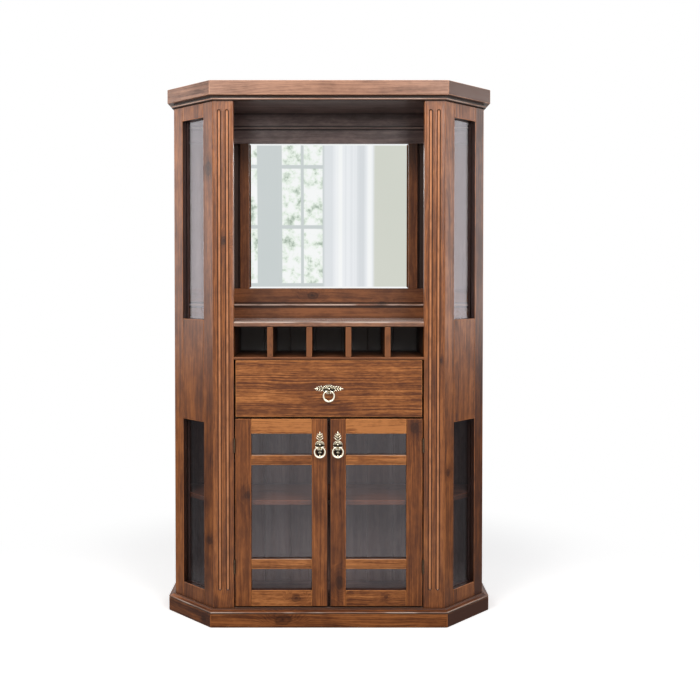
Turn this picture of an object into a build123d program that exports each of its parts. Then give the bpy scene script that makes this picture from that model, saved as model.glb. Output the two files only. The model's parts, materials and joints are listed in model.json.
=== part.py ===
from build123d import *
from math import radians, sqrt, tan
import os

# Display and drinks cabinet in stained pine: splayed glazed corners, an open niche with a bevelled mirror,
# a rack of bottle cells, one drawer and a cupboard with two glazed doors.
# Millimetres, +Z up, the front faces -Y, origin on the floor under the middle of the footprint.

# Whole cabinet
width = 1172.0
depth = 322.0
height = 1900.0
splay = 173.5
overrun = 20.0

# Body boards
overhang = 22.0
frame_thick = 28.0
back_thick = 16.0
post_width = 71.4
board_thick = 18.0
fit_clearance = 1.0

# Flutes of the front posts
flute_width = 13.5
flute_depth = 4.0
flute_pitch = 27.5
flute_foot = 68.0
flute_head = 36.0

# Plinth and cornice
plinth_height = 49.0
plinth_mould_height = 13.0
plinth_nose = 3.5
plinth_fillet = 1.0
plinth_hollow_shares = (0.7, 0.28)
plinth_top_land = 6.0
cornice_height = 50.0
cornice_top_thick = 18.0
bead_height = 17.0
bead_inset = 14.0
bead_depth = 22.0
bead_nose = 4.5
bead_neck = 3.0

# Glazed frames of the splayed corners
front_stile = 54.0
back_stile = 51.0
foot_rail_rise = 52.0
lower_light_drop = 3.0
upper_light_rise = 5.0
head_rail = 52.0
reveal = 17.5
glass_thick = 3.0
glass_lap = 8.0
glass_play = 1.5

# Heights of the cupboard, the drawer and the rack
door_floor_gap = 5.0
door_height = 660.0
door_drawer_gap = 6.0
dust_board_drop = 3.0
drawer_height = 199.0
drawer_rack_gap = 2.0
rack_floor_thick = 9.0
cell_height = 105.0
ledge_thick = 19.0
ledge_round = 6.0

# Niche back with its mirror
niche_frame_thick = 18.0
niche_foot_rail = 111.0
niche_head_rail = 110.0
niche_proud = 10.0
niche_nose = 4.0
niche_foot_band = 46.0
niche_head_band = 50.0
mirror_margin = 32.0
niche_stile = 33.0
mirror_set_back = 5.0
mirror_thick = 5.0
bevel_width = 15.0
bevel_depth = 1.5

# Boards of the back
back_boards = 11
back_groove = 3.0

# Bottle rack
cells = 5
divider_thick = 20.0
partition_thick = 18.0

# Shelf
shelf_rise = 373.0
shelf_thick = 17.0
batten_height = 18.0
batten_width = 20.0

# Doors
door_recess = 2.0
door_thick = 20.0
door_side_gap = 4.5
door_middle_gap = 7.0
door_stile = 56.0
door_top_rail = 52.5
door_bottom_rail = 57.0
door_bar = 35.5
door_small_light = 74.3
door_bar_thick = 12.0

# Butt hinges
hinge_height = 50.0
hinge_leaf_depth = 20.0
leaf_thick = 1.2
knuckle_radius = 2.7
hinge_pin_radius = 1.3
hinge_play = 0.08
knuckle_play = 0.3
hinge_stand_off = 2.0
hinge_top_drop = 93.0
hinge_bottom_rise = 141.0

# Door catches
catch_length = 32.0
catch_depth = 22.0
catch_height = 12.0
catch_offset = 22.0

# Drawer box and its runners
drawer_side_gap = 6.0
drawer_front_thick = 20.0
drawer_side_thick = 12.0
drawer_side_height = 160.0
drawer_rise = 12.0
drawer_box_length = 212.0
drawer_bottom_thick = 6.0
drawer_bottom_rise = 6.0
groove_depth = 6.0
runner_space = 13.0
runner_height = 35.0
runner_depth = 10.0
runner_wall = 1.5
runner_length = 220.0
slide_height = 26.0
slide_thick = 9.0

# Ring pulls
plate_length = 104.0
plate_width = 25.0
plate_thick = 2.0
boss_width = 32.0
boss_height = 22.0
boss_rise = 7.0
boss_top_share = 0.6
lug_width = 9.0
lug_radius = 3.6
pivot_drop = 9.0
pivot_reach = 15.0
ring_radius = 19.0
ring_wire = 2.5
ring_ball = 2.8
ring_pin_radius = 1.6
ring_arm = 8.2
ring_pin_start = 1.0
ring_opening_angle = 56.0
ring_centre_share = 0.8
pull_drop = 90.0
leaf_shares = [
    (0.14, 0.26),
    (0.28, 0.46),
    (0.38, 0.32),
    (0.52, 0.50),
    (0.62, 0.30),
    (0.76, 0.34),
    (0.84, 0.16),
    (1.00, 0.00),
]

# Levels and places worked out from the sizes above
mitre_share = tan(radians(45 / 2))
front = -depth / 2
back = depth / 2
body_front = front + overhang
body_inset = overhang
inner_inset = overhang + frame_thick
back_front = back - back_thick
floor_top = plinth_height + plinth_mould_height
door_bottom = floor_top + door_floor_gap
door_top = door_bottom + door_height
drawer_bottom = door_top + door_drawer_gap
drawer_top = drawer_bottom + drawer_height
dust_top = drawer_bottom - dust_board_drop
rack_floor_bottom = drawer_top + drawer_rack_gap
rack_floor_top = rack_floor_bottom + rack_floor_thick
ledge_bottom = rack_floor_top + cell_height
ledge_top = ledge_bottom + ledge_thick
bead_bottom = height - cornice_height - bead_height
bead_top = bead_bottom + bead_height
foot_rail_top = floor_top + foot_rail_rise
lower_light_top = dust_top - board_thick - lower_light_drop
upper_light_bottom = ledge_top + upper_light_rise
light_top = bead_bottom - head_rail
shelf_top = floor_top + shelf_rise
door_front = body_front + door_recess
door_back = door_front + door_thick


def front_corner(inset):
    """Where the front meets the right splay, at this distance inside the outermost outline."""
    return (width / 2 - splay - inset * mitre_share, front + inset)


def side_corner(inset):
    """Where the right splay meets the right side, at this distance inside the outermost outline."""
    return (width / 2 - inset, front + splay + inset * mitre_share)


opening_half = front_corner(body_inset)[0] - post_width
splay_length = (side_corner(body_inset)[0] - front_corner(body_inset)[0]) * sqrt(2)
inner_side = side_corner(inner_inset)[0]
mirror_half = opening_half - mirror_margin
door_width = opening_half - door_side_gap - door_middle_gap / 2
splay_place = Pos(*front_corner(body_inset), 0) * Rot(0, 0, 45)


def block(x, y, z):
    """A square-edged board between two places on each axis."""
    size = [abs(far - near) for near, far in (x, y, z)]
    middle = [(near + far) / 2 for near, far in (x, y, z)]
    return Pos(*middle) * Box(*size)


def prism(points, low, high):
    """A plan outline raised from one height to another."""
    return Pos(0, 0, low) * extrude(Polygon(*points, align=None), high - low, dir=(0, 0, 1))


def twin(shape):
    """The same piece on the other side of the cabinet."""
    return mirror(shape, about=Plane.YZ)


def both(shape):
    """A piece and its twin."""
    return [shape, twin(shape)]


def mirrored_outline(right_half):
    """A closed outline from its right half, listed from the front to the back."""
    return right_half + [(-x, y) for x, y in reversed(right_half)]


def rod(start, end, radius):
    """A round bar from one point to another."""
    run = Vector(*end) - Vector(*start)
    return Solid.make_cylinder(radius, run.length, Plane(origin=start, z_dir=run))


def save(name, *pieces):
    """Writes the pieces as one file of separate solids."""
    solids = [solid for piece in pieces for solid in piece.solids()]
    export_step(Compound(solids), f"parts/{name}.step")


# Runs round the outside
front_run = [(-front_corner(0)[0], front), front_corner(0)]
splay_run = [front_corner(0), side_corner(0)]
side_run = [side_corner(0), (width / 2, back)]


def run_zone(run, inset, low, high):
    """The mitred length of one run, from the outermost outline in to an inset."""
    inner_front = front_corner(inset)
    inner_side_corner = side_corner(inset)
    if run is front_run:
        points = run + [inner_front, (-inner_front[0], inner_front[1])]
    elif run is splay_run:
        points = run + [inner_side_corner, inner_front]
    else:
        points = run + [(width / 2 - inset, back), inner_side_corner]
    return prism(points, low, high)


def moulded_run(run, face, inset, low, high):
    """A moulding along one run. Its section lies at distance from the outline, then height."""
    start, end = Vector(*run[0]), Vector(*run[1])
    along = (end - start).normalized()
    inward = Vector(0, 0, 1).cross(along)
    plane = Plane(origin=start - along * inset, x_dir=inward, z_dir=along)
    length = (end - start).length + 2 * inset
    return extrude(plane * face, length) & run_zone(run, inset, low, high)


def board_run(run, inset, low, high):
    """A plain board along one run."""
    return run_zone(run, inset, low, high)


def plinth_section():
    """Rounded nose, cove and small land, from the board's top to the cupboard floor's level."""
    low = plinth_height
    nose_top = low + 2 * plinth_nose
    cove_start = plinth_nose + plinth_fillet
    cove_end = overhang - plinth_top_land
    cove_rise = floor_top - plinth_fillet - nose_top
    nose = ThreePointArc((plinth_nose, low), (0, low + plinth_nose), (plinth_nose, nose_top))
    across_share, up_share = plinth_hollow_shares
    hollow = ThreePointArc(
        (cove_start, nose_top),
        (cove_start + (cove_end - cove_start) * across_share, nose_top + cove_rise * up_share),
        (cove_end, nose_top + cove_rise),
    )
    rest = Polyline(
        (cove_end, nose_top + cove_rise),
        (cove_end, floor_top),
        (overhang, floor_top),
        (overhang, low),
        (plinth_nose, low),
    )
    return make_face([nose, Line((plinth_nose, nose_top), (cove_start, nose_top)), hollow, rest])


def bead_section():
    """The half-round bead under the cornice, with its neck above."""
    nose_centre = bead_inset + bead_nose
    nose_top = bead_bottom + 2 * bead_nose
    neck = nose_centre + bead_neck
    inner = bead_inset + bead_depth
    nose = ThreePointArc((nose_centre, bead_bottom), (bead_inset, bead_bottom + bead_nose), (nose_centre, nose_top))
    rest = Polyline(
        (nose_centre, nose_top),
        (neck, nose_top),
        (neck, bead_top),
        (inner, bead_top),
        (inner, bead_bottom),
        (nose_centre, bead_bottom),
    )
    return make_face([nose, rest])


def make_plinth():
    save("plinth_front_board", board_run(front_run, overhang, 0, plinth_height))
    save("plinth_splay_boards", *both(board_run(splay_run, overhang, 0, plinth_height)))
    save("plinth_side_boards", *both(board_run(side_run, overhang, 0, plinth_height)))
    pieces = [moulded_run(front_run, plinth_section(), overhang, plinth_height, floor_top)]
    for run in (splay_run, side_run):
        pieces += both(moulded_run(run, plinth_section(), overhang, plinth_height, floor_top))
    save("plinth_moulding", *pieces)


def make_cornice():
    save("cornice_front_board", board_run(front_run, overhang, bead_top, height))
    save("cornice_splay_boards", *both(board_run(splay_run, overhang, bead_top, height)))
    save("cornice_side_boards", *both(board_run(side_run, overhang, bead_top, height)))
    inner = bead_inset + bead_depth
    hollow = run_zone(front_run, bead_inset, bead_bottom, bead_top)
    pieces = [moulded_run(front_run, bead_section(), inner, bead_bottom, bead_top) - hollow]
    for run in (splay_run, side_run):
        hollow = run_zone(run, bead_inset, bead_bottom, bead_top)
        pieces += both(moulded_run(run, bead_section(), inner, bead_bottom, bead_top) - hollow)
    save("cornice_bead", *pieces)
    top = mirrored_outline([front_corner(overhang), side_corner(overhang), (side_corner(overhang)[0], back)])
    save("cornice_top_board", prism(top, height - cornice_top_thick, height))
    ceiling = mirrored_outline([front_corner(inner), side_corner(inner), (side_corner(inner)[0], back)])
    save("niche_ceiling_board", prism(ceiling, bead_bottom, bead_top))


def flute(x):
    """The cutter of one flute: a round bar with ball ends, sunk into the post's face."""
    radius = (flute_width**2 / 4 + flute_depth**2) / (2 * flute_depth)
    y = body_front - radius + flute_depth
    low = floor_top + flute_foot
    high = bead_bottom - flute_head
    bar = rod((x, y, low), (x, y, high), radius)
    return bar + Pos(x, y, low) * Sphere(radius) + Pos(x, y, high) * Sphere(radius)


def make_posts():
    inner = body_front + frame_thick
    outline = [(opening_half, body_front), front_corner(body_inset), front_corner(inner_inset), (opening_half, inner)]
    middle = opening_half + post_width / 2
    post = prism(outline, 0, bead_bottom)
    for side in (-1, 1):
        post -= flute(middle + side * flute_pitch / 2)
    save("right_post", post)
    save("left_post", twin(post))


def light_zone(low, high, margin, near, far):
    """A box at a splay frame's light, wider than its opening by a margin on every side."""
    x = (front_stile - margin, splay_length - back_stile + margin)
    return block(x, (near, far), (low - margin, high + margin))


def splay_beads(low, high):
    """The four strips that hold one pane from inside."""
    near = reveal + glass_thick
    margin = glass_lap + glass_play
    left, right = front_stile, splay_length - back_stile
    y = (near, frame_thick)
    strips = [
        block((left - margin, left), y, (low - margin, high + margin)),
        block((right, right + margin), y, (low - margin, high + margin)),
        block((left, right), y, (low - margin, low)),
        block((left, right), y, (high, high + margin)),
    ]
    return [splay_place * strip for strip in strips]


def make_splay_frames():
    slip = frame_thick * mitre_share
    far = splay_length - back_stile
    front_points = [(0, 0), (front_stile, 0), (front_stile, frame_thick), (slip, frame_thick)]
    back_points = [
        (far, 0),
        (splay_length, 0),
        (splay_length - slip, frame_thick),
        (far, frame_thick),
    ]
    stiles = [prism(front_points, 0, bead_bottom), prism(back_points, 0, bead_bottom)]
    lights = [(foot_rail_top, lower_light_top), (upper_light_bottom, light_top)]
    y = (0, frame_thick)
    rails = [
        block((front_stile, far), y, (0, foot_rail_top)),
        block((front_stile, far), y, (lower_light_top, upper_light_bottom)),
        block((front_stile, far), y, (light_top, bead_bottom)),
    ]
    for low, high in lights:
        rebate = light_zone(low, high, glass_lap + glass_play, reveal, frame_thick + overrun)
        stiles = [stile - rebate for stile in stiles]
        rails = [rail - rebate for rail in rails]
    stiles = [splay_place * stile for stile in stiles]
    rails = [splay_place * rail for rail in rails]
    save("right_splay_stiles", *stiles)
    save("left_splay_stiles", *[twin(stile) for stile in stiles])
    save("right_splay_panels", *rails)
    save("left_splay_panels", *[twin(rail) for rail in rails])
    beads = []
    for name, (low, high) in zip(("lower", "upper"), lights):
        pane = splay_place * light_zone(low, high, glass_lap, reveal, reveal + glass_thick)
        save(f"right_{name}_pane", pane)
        save(f"left_{name}_pane", twin(pane))
        for strip in splay_beads(low, high):
            beads += both(strip)
    save("splay_glazing_beads", *beads)


def make_sides_and_back():
    outline = [side_corner(body_inset), (width / 2 - body_inset, back), (inner_side, back), side_corner(inner_inset)]
    save("side_boards", *both(prism(outline, 0, bead_bottom)))
    panel = block((-inner_side, inner_side), (back_front, back), (0, bead_bottom))
    board = 2 * inner_side / back_boards
    for count in range(1, back_boards):
        x = -inner_side + count * board
        points = [(x - back_groove, back_front), (x + back_groove, back_front), (x, back_front + back_groove)]
        panel -= prism(points, 0, bead_bottom)
    reach = side_corner(overhang)[0]
    strip = block((-reach, reach), (back_front, back), (bead_top, height - cornice_top_thick))
    save("back_panel", panel, strip)


def level_board(nose_front, inset, low, high, back_edge):
    """A full-width board whose front reaches forward between the posts."""
    half = [
        (opening_half, nose_front),
        (opening_half, body_front + frame_thick),
        front_corner(inset),
        side_corner(inset),
        (side_corner(inset)[0], back_edge),
    ]
    return prism(mirrored_outline(half), low, high)


def front_edges(board, y):
    """The long edges of a board at its front."""
    return [edge for edge in board.edges().filter_by(Axis.X) if abs(edge.center().Y - y) < fit_clearance / 10]


def make_floors():
    floor = level_board(body_front, inner_inset, floor_top - board_thick, floor_top, back_front)
    save("bottom_board", floor)
    stop = door_back + fit_clearance
    save("dust_board", level_board(stop, inner_inset, dust_top - board_thick, dust_top, back_front))
    ledge = level_board(body_front, inner_inset, ledge_bottom, ledge_top, back_front)
    save("ledge", fillet(front_edges(ledge, body_front), min(ledge_round, ledge_thick / 3)))
    half = [
        front_corner(inner_inset + fit_clearance),
        side_corner(inner_inset + fit_clearance),
        (inner_side - fit_clearance, back_front),
    ]
    save("shelf", prism(mirrored_outline(half), shelf_top - shelf_thick, shelf_top))
    z = (shelf_top - shelf_thick - batten_height, shelf_top - shelf_thick)
    inner = body_front + frame_thick
    side_start = side_corner(inner_inset)[1] + batten_width
    side_batten = block((inner_side - batten_width, inner_side), (side_start, back_front), z)
    post_batten = block((opening_half, front_corner(inner_inset)[0]), (inner, inner + batten_width), z)
    save("shelf_battens", *both(side_batten), *both(post_batten))


def niche_rail(low, high, band_low, band_high, nose_high):
    """A niche rail in section: a flat at the mirror's side and a proud band with a nose at its inner edge."""
    face = back_front - niche_frame_thick
    proud = face - niche_proud
    rail = block((-inner_side, inner_side), (face, back_front), (low, high))
    band = block((-inner_side, inner_side), (proud, face), (band_low, band_high))
    nose_z = band_high - niche_nose if nose_high else band_low + niche_nose
    nose = rod((-inner_side, proud, nose_z), (inner_side, proud, nose_z), niche_nose)
    return rail + band + nose


def mirror_zone(margin, near, far):
    """A box at the mirror's opening, wider than it by a margin on every side."""
    low = ledge_top + niche_foot_rail
    high = bead_bottom - niche_head_rail
    return block((-mirror_half - margin, mirror_half + margin), (near, far), (low - margin, high + margin))


def bevelled_mirror(near, far):
    """Mirror glass with a shallow bevel all round its front face."""
    low = ledge_top + niche_foot_rail - glass_lap
    high = bead_bottom - niche_head_rail + glass_lap
    wide = 2 * (mirror_half + glass_lap)
    plane = Plane(origin=(0, near, (low + high) / 2), x_dir=(1, 0, 0), z_dir=(0, -1, 0))
    outer = plane.offset(-bevel_depth) * Rectangle(wide, high - low)
    inner = plane * Rectangle(wide - 2 * bevel_width, high - low - 2 * bevel_width)
    body = block((-wide / 2, wide / 2), (near + bevel_depth, far), (low, high))
    return body + loft([outer.face(), inner.face()], ruled=True)


def make_niche():
    face = back_front - niche_frame_thick
    glass_front = face + mirror_set_back
    glass_back = glass_front + mirror_thick
    rebate = mirror_zone(glass_lap + glass_play, glass_front, back_front + overrun)
    low = ledge_top + niche_foot_rail
    high = bead_bottom - niche_head_rail
    foot = niche_rail(ledge_top, low, ledge_top, ledge_top + niche_foot_band + 2 * niche_nose, True)
    head = niche_rail(high, bead_bottom, bead_bottom - niche_head_band - 2 * niche_nose, bead_bottom, False)
    stile = block((mirror_half, mirror_half + niche_stile), (face, back_front), (low, high))
    save("niche_bottom_rail", foot - rebate)
    save("niche_top_rail", head - rebate)
    save("niche_stiles", *both(stile - rebate))
    save("mirror", bevelled_mirror(glass_front, glass_back))
    save("mirror_backing", mirror_zone(glass_lap, glass_back, back_front))


def make_rack():
    inner = body_front + frame_thick
    floor = block((-opening_half, opening_half), (body_front, back_front), (rack_floor_bottom, rack_floor_top))
    save("rack_floor", floor)
    cell = (2 * opening_half - (cells - 1) * divider_thick) / cells
    dividers = []
    for count in range(1, cells):
        x = -opening_half + count * cell + (count - 1) * divider_thick
        dividers.append(block((x, x + divider_thick), (body_front, back_front), (rack_floor_top, ledge_bottom)))
    save("rack_dividers", *dividers)
    x = (opening_half, opening_half + partition_thick)
    save("partitions", *both(block(x, (inner, back_front), (dust_top, ledge_bottom))))


def pull_outline(upright):
    """The leaf plate's outline, pointed at both ends, upright or lying."""
    right = [(across * plate_width, along * plate_length / 2) for along, across in leaf_shares]
    top = right + [(-x, y) for x, y in reversed(right[:-1])]
    points = top + [(x, -y) for x, y in reversed(top)]
    ordered = points if upright else [(-y, x) for x, y in points]
    return Polygon(*ordered, align=None)


def pull_plate(x, z, face_y, upright):
    """A leaf plate with its boss and the pierced lug that carries the ring."""
    face = Plane(origin=(x, face_y, z), x_dir=(1, 0, 0), z_dir=(0, -1, 0))
    plate = extrude(face * pull_outline(upright), plate_thick)
    foot = face.offset(plate_thick / 2) * Ellipse(boss_width / 2, boss_height / 2)
    crown = face.offset(plate_thick + boss_rise) * Ellipse(
        boss_width / 2 * boss_top_share, boss_height / 2 * boss_top_share
    )
    boss = loft([foot.face(), crown.face()], ruled=True)
    pivot_y, pivot_z = face_y - pivot_reach, z - pivot_drop
    half = lug_width / 2
    web = block((x - half, x + half), (pivot_y, face_y), (pivot_z - lug_radius, pivot_z + lug_radius))
    eye = rod((x - half, pivot_y, pivot_z), (x + half, pivot_y, pivot_z), lug_radius)
    hole = rod((x - overrun, pivot_y, pivot_z), (x + overrun, pivot_y, pivot_z), ring_pin_radius + hinge_play)
    return plate + boss + web + eye - hole


def pull_ring(x, z, face_y):
    """A drop ring whose two curled ends turn in the lug."""
    centre = -ring_radius * ring_centre_share
    path = CenterArc((0, centre), ring_radius, 90 + ring_opening_angle / 2, 360 - ring_opening_angle)
    arc = Plane.XZ * path
    section = Plane(origin=arc @ 0, z_dir=arc % 0) * Circle(ring_wire)
    ring = sweep(section, path=arc)
    for end, side in ((arc @ 0, -1), (arc @ 1, 1)):
        arm = (side * ring_arm, 0, 0)
        ring += Pos(*end) * Sphere(ring_ball)
        ring += rod(arm, tuple(end), ring_wire)
        ring += Pos(*arm) * Sphere(ring_ball)
        ring += rod((side * ring_pin_start, 0, 0), arm, ring_pin_radius)
    return Pos(x, face_y - pivot_reach, z - pivot_drop) * ring


def make_drawer():
    y = (door_front, door_front + drawer_front_thick)
    half = opening_half - drawer_side_gap
    low = drawer_bottom + drawer_rise
    high = low + drawer_side_height
    side_far = opening_half - runner_space
    side_near = side_far - drawer_side_thick
    box_y = (y[1], y[1] + drawer_box_length)
    sheet_low = low + drawer_bottom_rise
    sheet_z = (sheet_low, sheet_low + drawer_bottom_thick)
    sheet_half = side_near + groove_depth
    sheet = block((-sheet_half, sheet_half), (y[1] - groove_depth, box_y[1]), sheet_z)
    save("drawer_front", block((-half, half), y, (drawer_bottom, drawer_top)) - sheet)
    side = block((side_near, side_far), box_y, (low, high)) - sheet
    end = block((-side_near, side_near), (box_y[1] - drawer_side_thick, box_y[1]), (sheet_z[1], high))
    save("drawer_box", *both(side), end)
    save("drawer_bottom", sheet)
    middle = (low + high) / 2
    inner = body_front + frame_thick
    channel = block(
        (opening_half - runner_depth, opening_half),
        (inner, inner + runner_length),
        (middle - runner_height / 2, middle + runner_height / 2),
    )
    hollow = block(
        (opening_half - runner_depth - overrun, opening_half - runner_wall),
        (inner - overrun, inner + runner_length + overrun),
        (middle - runner_height / 2 + runner_wall, middle + runner_height / 2 - runner_wall),
    )
    save("drawer_runners", *both(channel - hollow))
    z = (middle - slide_height / 2, middle + slide_height / 2)
    save("drawer_slides", *both(block((side_far, side_far + slide_thick), box_y, z)))
    pull_z = (drawer_bottom + drawer_top) / 2
    save("drawer_pull_plate", pull_plate(0, pull_z, door_front, False))
    save("drawer_pull_ring", pull_ring(0, pull_z, door_front))


def make_hinges():
    """The right door's hinges: leaves with a notch for the other leaf's knuckles, and pins."""
    axis_x = opening_half - door_side_gap / 2
    axis_y = body_front - hinge_stand_off
    edge = opening_half - door_side_gap
    third = hinge_height / 3
    posts, doors = [], []
    for middle in (door_bottom + hinge_bottom_rise, door_top - hinge_top_drop):
        low = middle - hinge_height / 2
        levels = [low, low + third, low + 2 * third, low + hinge_height]
        y = (axis_y, axis_y + hinge_leaf_depth)
        z = (levels[0], levels[3])

        def knuckle(start, end, radius):
            return rod((axis_x, axis_y, start), (axis_x, axis_y, end), radius)

        post_leaf = block((opening_half - leaf_thick, opening_half), y, z)
        door_leaf = block((edge, edge + leaf_thick), y, z)
        clear = knuckle_radius + knuckle_play
        post_leaf -= knuckle(levels[1] - knuckle_play, levels[2] + knuckle_play, clear)
        for start, end in ((levels[0], levels[1]), (levels[2], levels[3])):
            door_leaf -= knuckle(start - knuckle_play, end + knuckle_play, clear)
            post_leaf += knuckle(start, end, knuckle_radius)
        door_leaf += knuckle(levels[1] + knuckle_play, levels[2] - knuckle_play, knuckle_radius)
        pin = knuckle(levels[0], levels[3], hinge_pin_radius)
        posts += [post_leaf - pin, pin]
        doors.append(door_leaf - knuckle(levels[0], levels[3], hinge_pin_radius + hinge_play))
    save("hinge_post_leaves", *posts, *[twin(piece) for piece in posts])
    save("right_door_hinge_leaves", *doors)
    save("left_door_hinge_leaves", *[twin(piece) for piece in doors])


def make_doors():
    near = door_middle_gap / 2
    far = near + door_width
    left, right = near + door_stile, far - door_stile
    y = (door_front, door_back)
    bar_y = (door_front, door_front + door_bar_thick)
    light = (door_bottom + door_bottom_rail, door_top - door_top_rail)
    lap = glass_lap + glass_play
    rebate = block((left - lap, right + lap), (bar_y[1], door_back + overrun), (light[0] - lap, light[1] + lap))
    stiles = [
        block((near, left), y, (door_bottom, door_top)) - rebate,
        block((right, far), y, (door_bottom, door_top)) - rebate,
    ]
    upper_bar = light[1] - door_small_light
    lower_bar = light[0] + door_small_light
    rails = [
        block((left, right), y, (door_bottom, light[0])) - rebate,
        block((left, right), y, (light[1], door_top)) - rebate,
        block((left, right), bar_y, (upper_bar - door_bar, upper_bar)),
        block((left, right), bar_y, (lower_bar, lower_bar + door_bar)),
    ]
    glass_y = (bar_y[1], bar_y[1] + glass_thick)
    pane_z = (light[0] - glass_lap, light[1] + glass_lap)
    pane = block((left - glass_lap, right + glass_lap), glass_y, pane_z)
    bead_y = (glass_y[1], door_back)
    beads = [
        block((left - lap, left), bead_y, (light[0] - lap, light[1] + lap)),
        block((right, right + lap), bead_y, (light[0] - lap, light[1] + lap)),
        block((left, right), bead_y, (light[0] - lap, light[0])),
        block((left, right), bead_y, (light[1], light[1] + lap)),
    ]
    pull_x, pull_z = near + door_stile / 2, door_top - pull_drop
    groups = {
        "door_stiles": stiles,
        "door_rails": rails,
        "door_pane": [pane],
        "door_glazing_beads": beads,
        "door_pull_plate": [pull_plate(pull_x, pull_z, door_front, True)],
        "door_pull_ring": [pull_ring(pull_x, pull_z, door_front)],
    }
    for name, pieces in groups.items():
        save(f"right_{name}", *pieces)
        save(f"left_{name}", *[twin(piece) for piece in pieces])


def make_catches():
    """Touch catches under the dust board, one behind each door's meeting stile."""
    front_face = door_back + 2 * fit_clearance
    top = dust_top - board_thick
    body = block(
        (catch_offset, catch_offset + catch_length),
        (front_face, front_face + catch_depth),
        (top - catch_height, top),
    )
    save("door_catches", *both(body))


os.makedirs("parts", exist_ok=True)
make_plinth()
make_cornice()
make_posts()
make_splay_frames()
make_sides_and_back()
make_floors()
make_niche()
make_rack()
make_drawer()
make_doors()
make_hinges()
make_catches()
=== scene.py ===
import bpy
import bmesh
import json
import math
import random
from mathutils import Matrix, Vector


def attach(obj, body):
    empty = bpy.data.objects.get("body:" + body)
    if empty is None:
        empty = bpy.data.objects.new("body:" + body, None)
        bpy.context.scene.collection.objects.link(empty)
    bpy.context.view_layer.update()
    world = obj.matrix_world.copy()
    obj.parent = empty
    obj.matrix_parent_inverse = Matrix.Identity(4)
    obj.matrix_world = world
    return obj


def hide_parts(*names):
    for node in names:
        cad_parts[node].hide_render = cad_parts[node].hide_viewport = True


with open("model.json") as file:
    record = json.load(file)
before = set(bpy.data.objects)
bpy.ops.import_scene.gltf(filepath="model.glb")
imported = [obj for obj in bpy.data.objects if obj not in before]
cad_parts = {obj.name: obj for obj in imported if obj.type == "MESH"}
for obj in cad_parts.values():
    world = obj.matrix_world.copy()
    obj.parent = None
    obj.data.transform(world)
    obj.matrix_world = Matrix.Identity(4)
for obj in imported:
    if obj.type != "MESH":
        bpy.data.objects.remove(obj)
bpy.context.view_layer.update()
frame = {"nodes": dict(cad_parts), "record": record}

MM = 0.001
X, Y, Z = Vector((1, 0, 0)), Vector((0, 1, 0)), Vector((0, 0, 1))
QUARTER = math.radians(90)
EIGHTH = math.radians(45)
SIDES = ("left", "right")

# Camera: the photograph's viewing point and frame
CAMERA_PLACE = (0, -3.3428, 1.2324)
CAMERA_PITCH = 1.240
CAMERA_LENS = 47.349
CAMERA_SENSOR = 36
CAMERA_SHIFT = (0.0302, -0.08)

# Outline of the cabinet's footprint at floor and cornice, where the splayed corners begin and end
FRONT_Y = -0.161
SIDE_X = 0.586
SPLAY_START = Vector((0.4125, FRONT_Y))


def side_of(value):
    return -1 if value < 0 else 1


def times(factor, parts):
    return [factor * part for part in parts]


def mesh_of(work, name):
    """Turns a finished bmesh into a mesh."""
    mesh = bpy.data.meshes.new(name)
    work.to_mesh(mesh)
    work.free()
    return mesh


def give(mesh, material):
    mesh.materials.clear()
    mesh.materials.append(material)


def add_object(name, data):
    made = bpy.data.objects.new(name, data)
    bpy.context.scene.collection.objects.link(made)
    return made


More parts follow.
